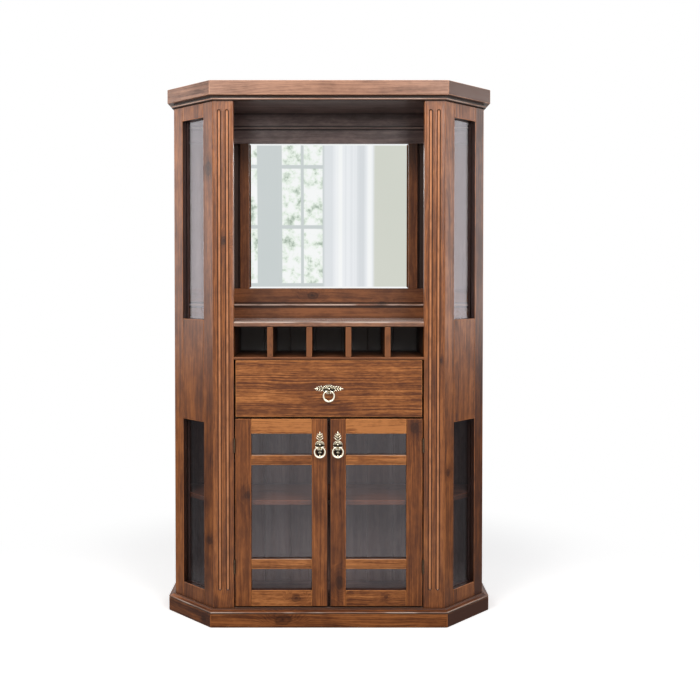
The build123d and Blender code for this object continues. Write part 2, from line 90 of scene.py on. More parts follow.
class Net:
    """Writes the nodes of a material or world; a socket takes either a value or another node's output."""

    def __init__(self, owner, output="OutputMaterial"):
        owner.use_nodes = True
        self.owner = owner
        self.tree = owner.node_tree
        self.tree.nodes.clear()
        self.out = self.node(output)

    def put(self, socket, value):
        if isinstance(value, bpy.types.NodeSocket):
            self.tree.links.new(value, socket)
        else:
            socket.default_value = value

    def node(self, kind, **inputs):
        node = self.tree.nodes.new("ShaderNode" + kind)
        for name, value in inputs.items():
            self.put(node.inputs[name.replace("_", " ")], value)
        return node

    def place(self):
        return self.node("TexCoord").outputs["Object"]

    def attribute(self, name, output="Fac"):
        node = self.node("Attribute")
        node.attribute_name = name
        return node.outputs[output]

    def math(self, operation, *values, clamp=False):
        node = self.node("Math")
        node.operation = operation
        node.use_clamp = clamp
        for socket, value in zip(node.inputs, values):
            self.put(socket, value)
        return node.outputs[0]

    def product(self, first, second):
        return self.math("MULTIPLY", first, second)

    def vector(self, operation, *values):
        node = self.node("VectorMath")
        node.operation = operation
        for socket, value in zip(node.inputs, values):
            self.put(socket, value)
        return node.outputs["Value" if operation == "LENGTH" else "Vector"]

    def parts(self, vector):
        return self.node("SeparateXYZ", Vector=vector).outputs

    def join(self, x, y, z):
        return self.node("CombineXYZ", X=x, Y=y, Z=z).outputs[0]

    def gap(self, value, level):
        """How far the value is from the level, either way."""
        return self.math("ABSOLUTE", self.math("SUBTRACT", value, level))

    def noise(self, vector, features, detail=2.0, roughness=0.5):
        node = self.node("TexNoise", Scale=1.0, Detail=detail, Roughness=roughness)
        self.put(node.inputs["Vector"], self.vector("MULTIPLY", vector, features))
        return node.outputs["Fac"]

    def span(self, value, low, high, to_low=0.0, to_high=1.0):
        """A smooth rise from to_low to to_high while the value goes from low to high."""
        node = self.node("MapRange")
        node.interpolation_type = "SMOOTHSTEP"
        for socket, number in zip(node.inputs[:5], (value, low, high, to_low, to_high)):
            self.put(socket, number)
        return node.outputs[0]

    def fall(self, value, low, high, start=1.0):
        """A smooth fall to nothing while the value goes from low to high."""
        return self.span(value, low, high, start, 0.0)

    def ramp(self, value, stops):
        node = self.node("ValToRGB", Fac=value)
        points = node.color_ramp.elements
        while len(points) < len(stops):
            points.new(0.5)
        for point, (place, colour) in zip(points, stops):
            point.position = place
            point.color = (*colour, 1)
        return node.outputs["Color"]

    def mix(self, share, first, second, kind="MIX"):
        node = self.node("Mix")
        node.data_type = "RGBA"
        node.blend_type = kind
        self.put(node.inputs["Factor"], share)
        for name, value in (("A", first), ("B", second)):
            socket = [s for s in node.inputs if s.name == name and s.type == "RGBA"][0]
            self.put(socket, value if isinstance(value, bpy.types.NodeSocket) else (*value, 1))
        return [s for s in node.outputs if s.type == "RGBA"][0]

    def mix_shaders(self, share, first, second):
        node = self.node("MixShader", Fac=share)
        self.put(node.inputs[1], first)
        self.put(node.inputs[2], second)
        return node.outputs[0]

    def bump(self, height, strength, distance):
        return self.node("Bump", Height=height, Strength=strength, Distance=distance).outputs[0]

    def crevice(self, reach):
        """1 on open faces, falling to 0 where another face is nearer than the reach."""
        node = self.node("AmbientOcclusion", Distance=reach)
        node.samples = 6
        return node.outputs["AO"]

    def finish(self, surface):
        self.put(self.out.inputs["Surface"], surface)
        return self.owner

    def principled(self, **inputs):
        return self.finish(self.node("BsdfPrincipled", **inputs).outputs[0])


def material_net(name):
    return Net(bpy.data.materials.new(name))


# Noises of the wood: features to a metre across, through and along the grain, then detail and roughness
WAVE = ((6, 6, 2.2), 2.0)
PITH = ((1.2, 1.2, 0.45), 1.5)
RAGGED = ((60, 60, 40), 2.0)
SPACING = ((38, 1, 38), 2.0)
FIBRE = ((700, 700, 14), 3.0, 0.6)
STREAK = ((120, 120, 3.2), 5.0, 0.7)
WIDE_STREAK = ((42, 42, 1.8), 3.0, 0.6)
FLECK = ((190, 190, 45), 3.0, 0.6)
BLOTCH = ((9, 9, 4), 4.0, 0.62)
MOTTLE = ((42, 42, 17), 4.0, 0.62)
RIPPLE = ((170, 170, 120), 3.0, 0.6)
PATCH = ((60, 60, 22), 3.0)
WORN = ((60, 60, 9), 3.0)

# The span of each noise that counts, and for some how much paler and darker it makes the wood
STREAK_SPAN = (0.34, 0.66)
FIBRE_SPAN = (0.3, 0.75)
FLECK_SPAN = (0.34, 0.66)
PATCH_SPAN = (0.3, 0.6)
WIDE_STREAK_TONES = (0.32, 0.68, -0.1, 0.18)
MOTTLE_TONES = (0.3, 0.7, -0.08, 0.13)
BLOTCH_TONES = (0.3, 0.72, -0.16, 0.26)

# How much darker the wood gets by its fibres, by its board, and beside and in a knot
FIBRE_SHARE, BOARD_SHARE, HALO_SHARE, CORE_SHARE = 0.08, 0.6, 0.2, 0.25

# Growth rings: how many to a metre, how dark from early to late wood, and how unevenly spaced
RINGS = 170
RING_TONES = ((0, 0.05), (0.4, 0.15), (0.8, 0.8), (0.92, 1), (1, 0.05))
RING_DRIFT, RING_DRIFT_ALONG = 3.2, 0.01

# How far the grain waves across and through the board, and how far the pith wanders
WAVE_REACH = (0.035, 0.02)
PITH_REACH = (0.12, 0.09)

# Knots, in half widths from the middle: how ragged, the core, the rim's flanks and the halo; and how far the
# halo pushes the rings aside, in metres
KNOT_RAGGED = 0.7
KNOT_CORE = (0.2, 1.0)
KNOT_RIM = ((0.55, 0.9), (0.95, 1.25))
KNOT_HALO = (0.8, 3.4)
KNOT_PUSH = 0.03

# Where a stain's lightest, middle and darkest tone stand
STAIN_STOPS = (0.02, 0.42, 0.95)

# Painted shade: joints and corners closer than this are darkened
CORNER_SHADE_REACH = 0.011

# Painted highlights on the noses of mouldings and in the bottoms of the flutes
NOSE_HIGHLIGHT = (0.64, 0.49, 0.41)
FLUTE_HIGHLIGHT = (0.68, 0.28, 0.12)

# Back panel: the depths between its faces; where painted shading covers its front, to the sides and upwards;
# where the niche starts; the painted tones of its front, a lighter grey behind the shaded bottle cells and
# near black shade in the niche; and the tint of its back face
BACK_FACES = (0.148, 0.158)
BACK_SHADING_SIDES = (0.4, 0.44)
BACK_SHADING_START = (0.92, 0.94)
NICHE_START = (1.05, 1.07)
BACK_SHADING_TONES = ((0.42, 0.42, 0.41), (0.02, 0.01, 0.007))
BACK_SHADING_SHARE = 0.9
OUTER_TINT = (1.0, 0.8, 0.65)


def scaled(noise, fine, stretch):
    """A noise with its features across and along the grain made finer by these factors."""
    (across, through, along), *rest = noise
    return ((across * fine, through * fine, along * stretch), *rest)


def knot_marks(net, place, ragged, knots):
    """The knots' cores, their dark rims and their halos."""
    core, rim, halo = 0.0, 0.0, 0.0
    for knot_x, knot_z, half_wide, half_tall in knots:
        ratio_x = net.product(net.math("SUBTRACT", place[0], knot_x), 1 / half_wide)
        ratio_z = net.product(net.math("SUBTRACT", place[2], knot_z), 1 / half_tall)
        away = net.vector("LENGTH", net.join(ratio_x, ratio_z, 0.0))
        away = net.math("MULTIPLY_ADD", ragged, KNOT_RAGGED, away)
        band = net.product(net.span(away, *KNOT_RIM[0]), net.fall(away, *KNOT_RIM[1]))
        core = net.math("MAXIMUM", net.fall(away, *KNOT_CORE), core)
        rim = net.math("MAXIMUM", band, rim)
        halo = net.math("MAXIMUM", net.fall(away, *KNOT_HALO), halo)
    return core, rim, halo


def growth_rings(net, grain, bent, halo):
    """Rings round a wandering pith, 0 in the pale early wood and 1 in the dark late wood."""
    across, through, along = net.parts(bent)
    wander = net.noise(grain, *PITH)
    pith_across = net.math("MULTIPLY_ADD", wander, PITH_REACH[0], across)
    pith_depth = net.math("MULTIPLY_ADD", wander, PITH_REACH[1], through)
    height = net.vector("LENGTH", net.join(pith_across, pith_depth, 0.0))
    height = net.math("MULTIPLY_ADD", halo, KNOT_PUSH, height)
    drift = net.noise(net.join(height, 0.0, net.product(along, RING_DRIFT_ALONG)), *SPACING)
    turn = net.math("MULTIPLY_ADD", drift, RING_DRIFT, net.product(height, RINGS))
    return net.ramp(net.math("FRACT", turn), [(place, (tone,) * 3) for place, tone in RING_TONES])


def back_shading(net, colour, place):
    """On the back panel's front above the drawer, painted shade in the niche and a painted lighter grey
    behind the bottle cells; and its warmer back.
    """
    between = net.fall(net.math("ABSOLUTE", place[0]), *BACK_SHADING_SIDES)
    shading_mask = net.product(between, net.span(place[2], *BACK_SHADING_START))
    shading_mask = net.product(shading_mask, net.fall(place[1], *BACK_FACES))
    shading_tone = net.mix(net.span(place[2], *NICHE_START), *BACK_SHADING_TONES)
    colour = net.mix(net.product(shading_mask, BACK_SHADING_SHARE), colour, shading_tone)
    return net.mix(net.span(place[1], *BACK_FACES), colour, net.mix(1.0, colour, OUTER_TINT, "MULTIPLY"))


def wear_and_painted_light(net, colour, grain, light, dark, rub_and_highlight):
    """Edges rubbed pale, partly painted highlight; painted highlight in flute bottoms; painted shade on flute
    rims and flanks.
    """
    hollow = net.attribute("hollow")
    patches = net.noise(grain, *PATCH)
    # Edges rubbed pale in patches, which also stands as a painted highlight along every arris
    rubbed_highlight = net.product(net.attribute("edge"), net.span(patches, *PATCH_SPAN, 0.2 * rub_and_highlight, 0.7 * rub_and_highlight))
    colour = net.mix(rubbed_highlight, colour, [min(1, part) for part in times(1.7, light)])
    bottom = net.product(net.span(hollow, 0.7, 0.9), net.span(patches, *PATCH_SPAN, 0.5, 0.95))
    colour = net.mix(bottom, colour, FLUTE_HIGHLIGHT)
    # Painted shade along the flute rims and on the flanks beside gaps and panes
    rim = net.product(net.span(hollow, 0.0, 0.05), net.fall(hollow, 0.6, 0.82))
    return net.mix(net.product(rim, 0.92), colour, times(0.4, dark))


def line_tones(net, colour, grain, place, lines, seams, deepest):
    """Level lines of painted highlight, broken in patches, for a share above 0 and of painted shade for one
    below, and upright seams of painted shade.
    """
    highlight_breaks = net.span(net.noise(grain, *WORN), 0.36, 0.62, 0.25, 1.0)
    for level, half, share in lines:
        line = net.fall(net.gap(place[2], level), 0.6 * half, 1.3 * half, abs(share))
        line = net.product(line, highlight_breaks if share > 0 else 1.0)
        colour = net.mix(line, colour, NOSE_HIGHLIGHT if share > 0 else deepest)
    for level, half, share in seams:
        colour = net.mix(net.fall(net.gap(place[0], level), 0.8 * half, 1.2 * half, share), colour, deepest)
    return colour


def pine(name, light, mid, dark, ring_share=0.18, streak_share=0.24, fleck_share=0.06, gloss=0.3, shine=0.33,
         stretch=1, fine=1, rub_and_highlight=1, reach=CORNER_SHADE_REACH, shade=0.75, knots=(), lines=(), seams=(), painted_top_sheen=None,
         shaded_back=False):
    """Pine: growth rings, broken fibre streaks, blotchy stain and knots, with painted highlights and shade,
    and painted shade in corners.
    """
    net = material_net(name)
    grain = net.attribute("grain", "Vector")
    place = net.parts(net.place())
    wave = net.math("SUBTRACT", net.noise(grain, *WAVE), 0.5)
    bent = net.vector("ADD", grain, net.join(*(net.product(wave, far) for far in WAVE_REACH), 0.0))
    ragged = net.math("SUBTRACT", net.noise(grain, *RAGGED), 0.5)
    core, rim, halo = knot_marks(net, place, ragged, knots)
    late = growth_rings(net, grain, bent, halo)
    fibre = net.noise(bent, *scaled(FIBRE, 1, stretch))
    streak = net.noise(bent, *scaled(STREAK, fine, stretch))
    wide_streak = net.noise(bent, *scaled(WIDE_STREAK, 1, stretch))
    fleck = net.noise(bent, *FLECK)
    blotch = net.noise(grain, *BLOTCH)
    mottle = net.noise(grain, *MOTTLE)

    depth = net.product(late, ring_share)
    depth = net.math("MULTIPLY_ADD", net.span(streak, *STREAK_SPAN), streak_share, depth)
    depth = net.math("MULTIPLY_ADD", net.span(fibre, *FIBRE_SPAN), FIBRE_SHARE, depth)
    for layer in ((wide_streak, *WIDE_STREAK_TONES), (fleck, *FLECK_SPAN, -fleck_share, fleck_share),
                  (mottle, *MOTTLE_TONES), (blotch, *BLOTCH_TONES)):
        depth = net.math("ADD", depth, net.span(*layer))
    board = net.math("SUBTRACT", net.attribute("board"), 0.5)
    depth = net.math("MULTIPLY_ADD", board, BOARD_SHARE, depth, clamp=True)
    depth = net.math("MULTIPLY_ADD", halo, HALO_SHARE, depth)
    depth = net.math("MULTIPLY_ADD", core, CORE_SHARE, depth, clamp=True)

    colour = net.ramp(depth, list(zip(STAIN_STOPS, (light, mid, dark))))
    deepest = times(0.25, dark)
    ripple = net.span(net.noise(grain, *RIPPLE), 0.35, 0.65, 0.3, 0.85)
    colour = net.mix(net.product(core, ripple), colour, times(0.5, dark))
    colour = net.mix(net.product(rim, 0.55), colour, deepest)
    # Painted shade and a painted lighter grey on the back panel's front
    if shaded_back:
        colour = back_shading(net, colour, place)
    # Painted sheen: faces that look up are made paler, as if they reflected the light above
    if painted_top_sheen:
        facing = net.parts(net.node("NewGeometry").outputs["Normal"])[2]
        colour = net.mix(net.span(facing, 0.75, 0.98, 0.0, 0.6), colour, painted_top_sheen)
    colour = wear_and_painted_light(net, colour, grain, light, dark, rub_and_highlight)
    colour = line_tones(net, colour, grain, place, lines, seams, deepest)
    # Painted shade wherever other faces are near: in joints and corners, deep in the bottle cells and in the
    # window reveals
    colour = net.mix(net.fall(net.crevice(reach), 0.3, 0.95, shade), colour, deepest)

    rough = net.math("MULTIPLY_ADD", late, 0.06, net.span(blotch, 0.3, 0.7, gloss - 0.03, gloss + 0.07))
    relief = net.math("MULTIPLY_ADD", fibre, 0.5, net.product(streak, 0.5))
    normal = net.bump(relief, 0.3, 0.0005)
    shader = net.node("BsdfPrincipled", Base_Color=colour, Roughness=rough, Normal=normal)
    shader.inputs["Specular IOR Level"].default_value = shine
    return net.finish(shader.outputs[0])


# Glass: how strongly it bends and reflects light, and its long upright streaks
GLASS_INDEX = 1.55
GLASS_STREAKS = ((48, 48, 0.9), 3.0)


def glass(name, tint, sheen):
    """A clear pane: reflects as polished glass does and is plainly see-through."""
    net = material_net(name)
    inside = net.node("NewGeometry").outputs["Backfacing"]
    index = net.math("MULTIPLY_ADD", inside, 1 / GLASS_INDEX - GLASS_INDEX, GLASS_INDEX)
    reflected = net.node("Fresnel", IOR=index).outputs[0]
    streaks = net.noise(net.place(), *GLASS_STREAKS)
    through = net.node("BsdfTransparent", Color=(*tint, 1)).outputs[0]
    rough = net.span(streaks, 0.3, 0.8, 0.0, 0.02)
    tone = net.mix(net.span(streaks, 0.35, 0.65), times(0.82, sheen), sheen)
    shine = net.node("BsdfGlossy", Color=tone, Roughness=rough).outputs[0]
    return net.finish(net.mix_shaders(reflected, through, shine))


def silvered():
    """Silver behind glass, with a slight haze."""
    net = material_net("silvered_mirror")
    haze = net.noise(net.place(), (3, 3, 3), 3.0)
    colour = net.ramp(haze, [(0.3, (0.9, 0.92, 0.915)), (0.7, (0.93, 0.94, 0.94))])
    return net.principled(Base_Color=colour, Metallic=1.0, Roughness=net.span(haze, 0.3, 0.8, 0.0, 0.012))


def metal(name, bright, worn, rough):
    """Plain metal, duller and darker where it is worn."""
    net = material_net(name)
    wear = net.noise(net.place(), (90, 90, 90), 4.0, 0.65)
    colour = net.ramp(wear, [(0.3, worn), (0.62, bright)])
    roughness = net.span(wear, 0.3, 0.7, rough + 0.12, rough)
    return net.principled(Base_Color=colour, Metallic=1.0, Roughness=roughness,
                          Normal=net.bump(wear, 0.15, 0.0003))


def plastic(name, tone):
    """Moulded plastic with a fine grain."""
    net = material_net(name)
    fine = net.noise(net.place(), (900, 900, 900), 2.0)
    colour = net.ramp(fine, [(0.3, times(0.8, tone)), (0.7, tone)])
    return net.principled(Base_Color=colour, Roughness=net.span(fine, 0.3, 0.7, 0.5, 0.62),
                          Normal=net.bump(fine, 0.1, 0.0002))


def cast_brass():
    """Antiqued brass: rubbed bright on the raised parts, dark in the hollows."""
    net = material_net("antique_brass")
    wear = net.noise(net.place(), (500, 500, 500), 3.0)
    dark = net.math("ADD", net.attribute("patina"), net.span(wear, 0.35, 0.75, -0.12, 0.16), clamp=True)
    tones = [(0.2, (0.98, 0.92, 0.74)), (0.5, (0.42, 0.34, 0.21)), (0.8, (0.02, 0.017, 0.014))]
    return net.principled(Base_Color=net.ramp(dark, tones), Metallic=1.0,
                          Roughness=net.span(dark, 0.1, 0.8, 0.24, 0.55), Normal=net.bump(wear, 0.12, 0.0002))


# Boards: how the grain lies, as the directions along, across and through a board that faces the front
GRAINS = {
    "level": (X, Z, Y),
    "upright": (Z, X, Y),
    "lying": (X, Y, Z),
    "deep": (Y, X, Z),
}

# How much a node's boards differ: where in the log they are cut, across, through and along, and in tone
CUT_SPANS = ((-0.05, 0.05), (0.0, 0.05), (0, 9))
TONE_SPREAD = 0.12

# Single boards lighter or darker than their node: axis, from and to along it, and the change
BOARD_TONES = {
    "left_door_rails": ((2, 0.66, 0.8, -0.65), (2, 0, 0.2, -0.25)),
    "right_door_rails": ((2, 0.66, 0.8, -0.65), (2, 0.2, 0.66, -0.2), (2, 0, 0.2, 0.4)),
    "left_splay_stiles": ((0, 0.5, 0.6, -0.45),),
    "right_splay_stiles": ((0, 0.5, 0.6, 0.5),),
    "right_door_stiles": ((0, 0.2, 0.4, 0.2),),
}

# Edges sharper than this are eased
EASED_ANGLE = math.radians(38)

# Boards whose flanks, beside a gap or a pane, take painted shade
FLANKED = ("_splay_stiles", "_splay_panels", "_door_stiles", "_door_rails", "drawer_front")
FLANK_HOLLOW = 0.3

# Posts: where their flat face is, how far the flutes go in behind it, and between which X they lie
FLUTED = ("left_post", "right_post")
POST_FACE_Y = -0.139
FLUTE_DEPTH = 0.004
FLUTE_REACH = (0.345, 0.39)


def run_turn(point):
    """How far a front moulding or board is turned at this point: nothing in front, an eighth on a splay."""
    outward, inward = abs(point.x) - SPLAY_START.x, point.y - SPLAY_START.y
    splay_in = outward * math.sin(EIGHTH) - inward * math.cos(EIGHTH)
    reach = {0: point.y - FRONT_Y, EIGHTH: -splay_in, QUARTER: SIDE_X - abs(point.x)}
    return side_of(point.x) * min(reach, key=reach.get)


def islands(mesh):
    """A number for each face's own connected board."""
    owner = list(range(len(mesh.vertices)))

    def find(count):
        while owner[count] != count:
            owner[count] = owner[owner[count]]
            count = owner[count]
        return count
    for polygon in mesh.polygons:
        first = find(polygon.vertices[0])
        for other in polygon.vertices[1:]:
            owner[find(other)] = first
    return [find(polygon.vertices[0]) for polygon in mesh.polygons]


def bevelled(node, mesh, ease):
    """The mesh with its sharp edges rounded, and index 1 on the faces that round them."""
    for _ in range(2):
        mesh.materials.append(None)
    shell = add_object(node + "_shell", mesh)
    bevel = shell.modifiers.new("ease", "BEVEL")
    bevel.width = ease
    bevel.segments = 2
    bevel.limit_method = "ANGLE"
    bevel.angle_limit = EASED_ANGLE
    bevel.harden_normals = True
    bevel.material = 1
    eased = bpy.data.meshes.new_from_object(shell.evaluated_get(bpy.context.evaluated_depsgraph_get()))
    bpy.data.objects.remove(shell)
    bpy.data.meshes.remove(mesh)
    return eased


def eased_mesh(node, ease):
    """The node's boards as clean, eased faces in the node's own box; a post has only its long edges eased."""
    work = bmesh.new()
    work.from_mesh(frame["nodes"][node].data)
    low = [min(vert.co[axis] for vert in work.verts) for axis in range(3)]
    high = [max(vert.co[axis] for vert in work.verts) for axis in range(3)]
    bmesh.ops.remove_doubles(work, verts=work.verts, dist=1e-5)
    inner = [face for face in work.faces if all(len(edge.link_faces) > 2 for edge in face.edges)]
    bmesh.ops.delete(work, geom=inner, context="FACES_ONLY")
    if node not in FLUTED:
        bmesh.ops.dissolve_limit(work, angle_limit=0.01, verts=work.verts, edges=work.edges)
    for face in work.faces:
        face.smooth = True
        face.material_index = 0
    if node in FLUTED:
        sharp = [edge for edge in work.edges if edge.calc_face_angle(0) > EASED_ANGLE]
        long = [edge for edge in sharp if edge.calc_length() > 1]
        bmesh.ops.bevel(work, geom=long, offset=ease, offset_type="OFFSET", segments=2, profile=0.5,
                        affect="EDGES")
    for edge in work.edges:
        edge.smooth = edge.is_manifold and edge.calc_face_angle(0) < EASED_ANGLE
    mesh = mesh_of(work, node + "_eased")
    if node in FLUTED:
        return mesh
    eased = bevelled(node, mesh, ease)
    for vert in eased.vertices:
        vert.co = [min(high[axis], max(low[axis], vert.co[axis])) for axis in range(3)]
    return eased


def is_flank(polygon, turn):
    """Whether a face of a board in the front lies across that board's thickness."""
    angle = side_of(polygon.center.x) * turn
    ahead = Vector((math.sin(angle), -math.cos(angle), 0))
    return abs(polygon.normal.dot(ahead)) < 0.5


def is_fluted(corner):
    return FLUTE_REACH[0] < abs(corner.x) < FLUTE_REACH[1] and corner.y < POST_FACE_Y + 1.1 * FLUTE_DEPTH


def mark_grain(mesh, node, grain, turn, depth, lean):
    """Gives each face corner its place in its board, so the wood runs along it, and each board its tone."""
    along, across, through = GRAINS[grain]
    groups = {}
    for polygon, board in zip(mesh.polygons, islands(mesh)):
        angle = run_turn(polygon.center) if turn == "run" else side_of(polygon.center.x) * turn
        groups.setdefault((board, round(angle, 3)), []).append((polygon, angle))
    place = [(0, 0, 0)] * len(mesh.loops)
    tone = [0.0] * len(mesh.polygons)
    chance = random.Random(node)
    for key in sorted(groups, key=lambda k: tuple(sum((p.center for p, _ in groups[k]), Vector()))):
        members = groups[key]
        spin = Matrix.Rotation(members[0][1], 3, "Z")
        middle = sum((polygon.center for polygon, _ in members), Vector()) / len(members)
        shift = [chance.uniform(*span) for span in CUT_SPANS]
        # lean paints shade onto boards on the right and light onto those on the left
        value = depth + chance.uniform(-TONE_SPREAD, TONE_SPREAD) + lean * side_of(middle.x)
        for axis, low_end, high_end, change in BOARD_TONES.get(node, ()):
            value += change if low_end < abs(middle[axis]) < high_end else 0
        for polygon, _ in members:
            tone[polygon.index] = value
            for loop in polygon.loop_indices:
                local = mesh.vertices[mesh.loops[loop].vertex_index].co - middle
                place[loop] = (local.dot(spin @ across) + shift[0], local.dot(spin @ through) + shift[1],
                               local.dot(spin @ along) + shift[2])
    layer = mesh.attributes.new("grain", "FLOAT_VECTOR", "CORNER")
    layer.data.foreach_set("vector", [number for point in place for number in point])
    mesh.attributes.new("board", "FLOAT", "FACE").data.foreach_set("value", tone)


def mark_wear_and_shading(mesh, node, turn):
    """Marks faces with index 1 as edges to rub pale and highlight, and how deep each corner is in a flute or
    on a flank for painted shade.
    """
    hollow = [0.0] * len(mesh.loops)
    edges = [0.0] * len(mesh.polygons)
    for polygon in mesh.polygons:
        flank = node.endswith(FLANKED) and is_flank(polygon, turn)
        edges[polygon.index] = 0.0 if flank else float(polygon.material_index)
        for loop in polygon.loop_indices:
            corner = mesh.vertices[mesh.loops[loop].vertex_index].co
            if flank:
                hollow[loop] = FLANK_HOLLOW
            elif node in FLUTED and is_fluted(corner):
                hollow[loop] = (corner.y - POST_FACE_Y) / FLUTE_DEPTH
        polygon.material_index = 0
    mesh.attributes.new("hollow", "FLOAT", "CORNER").data.foreach_set("value", hollow)
    mesh.attributes.new("edge", "FLOAT", "FACE").data.foreach_set("value", edges)


def body_of(node):
    for body, members in frame["record"]["behaviour"]["bodies"].items():
        if node in members:
            return body


def place_piece(name, mesh, node, material):
    """Puts a mesh in the place of a CAD node, on the node's body."""
    give(mesh, material)
    piece = add_object(name, mesh)
    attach(piece, body_of(node))
    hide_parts(node)


def dress(node, material, grain, turn=0, depth=0.5, lean=0, ease=0.002):
    """Puts an eased, grained copy of a wooden node in its place."""
    mesh = eased_mesh(node, ease)
    mark_grain(mesh, node, grain, turn, depth, lean)
    mark_wear_and_shading(mesh, node, turn)
    place_piece(node + "_wood", mesh, node, material)


# Ring pulls: the face they stand on, and the middles of the plates as X and Z
PULL_FACE_Y = -0.137
DRAWER_PULL = (0, 0.8325)
DOOR_PULL = (0.0315, 0.637)

# From here on in millimetres from the plate's middle: to the right, up, and out of the face
DRAWER_DOME, DOOR_DOME = (21.0, 14.0), (16.0, 13.5)

# Leaves: where they start and end and how long the tip is, and each pair of blades' place along and length
LEAF_START, LEAF_END, LEAF_TIP = 9.0, 52.0, 15.0
LEAFLETS = ((10.0, 14.0), (19.5, 14.5), (28.5, 12.5), (37.0, 9.5))
CROWN_END, CROWN_LEAFLETS = 46.0, ((13.0, 17.5), (22.0, 15.5), (30.5, 12.0))
DROP_END, DROP_LEAFLETS = 50.0, ((15.0, 9.0), (25.0, 8.0))
LEAFLET_ANGLE = math.radians(48)

# A leaf's parts: the powers of their outline, their width and height, and how far the backing stops short
POINTED, BLUNT = 0.65, 0.45
RIB_SIZE, BLADE_SIZE, TIP_SIZE = (2.0, 2.6), (3.9, 3.2), (5.0, 3.2)
BACKING_WIDE, DROP_BACKING_WIDE, BACKING_TALL, BACKING_SHORT = 7, 27, 0.5, 7

# Dome: share of its half width, height and patina from the rim in; its foot is cut off flat at this share
DOME_PROFILE = ((1, 0, 0.7), (1, 2.4, 0.5), (0.96, 4.3, 0), (0.9, 4.8, 0), (0.84, 3.2, 0.95),
                (0.7, 3.0, 0.76), (0.52, 5.0, 0.72), (0.42, 6.0, 0.6), (0.37, 5.2, 1), (0.24, 5.4, 1),
                (0.21, 7.6, 0.5), (0.13, 9.0, 0.1), (0, 9.5, 0.1))
DOME_FOOT_SHARE = 0.62
PETALS, PETAL_HEIGHT, PETAL_SHARES = 12, 0.45, (0.4, 0.8)

# The pins' place, the lug's size and rims, and the pins
PIVOT_DROP, PIVOT_REACH = 9.0, 15.0
LUG_RADIUS, LUG_HALF, LUG_MIDDLE_SHARE = 3.6, 4.5, 0.6
LUG_RIMS = ((-1, 0), (-1, 0.86), (-0.9, 1), (0.9, 1), (1, 0.86), (1, 0))
PIN_RADIUS, PIN_START, PIN_END = 1.6, 1.0, 8.2

# Ring: its size, its curled end, its wire, and how that thickens towards its foot
RING_RADIUS, RING_DROP, RING_OPENING = 18.5, 15.2, math.radians(26)
RING_CURL = ((6.6, -5.4), (6.3, -2.6), (6.2, 0.2), (6.9, 1.4))
RING_WIRE, RING_FLAT, RING_END_SHARE = 2.4, 2.5, 0.75
RING_SWELL, SWELL_DROP, SWELL_POWER = 1.2, 30, 1.3

# Beads: their place and their radii to the right, up and out
COWL_BEAD_SHARES, COWL_BEAD_OUT, COWL_BEAD = (0.86, 0.6), 2.6, (2.6, 2.3, 2.6)
LUG_BEAD_DROP, LUG_BEAD_BACK, LUG_BEAD = 5.4, 2, (2.1, 3.2, 2.1)
RING_BEAD_ASIDE, RING_BEAD_DROP, RING_BEAD = 6.5, 5.8, (2.0, 2.4, 2.0)

# The patina of ribs, pins and ring beads
RUBBED = 0.3


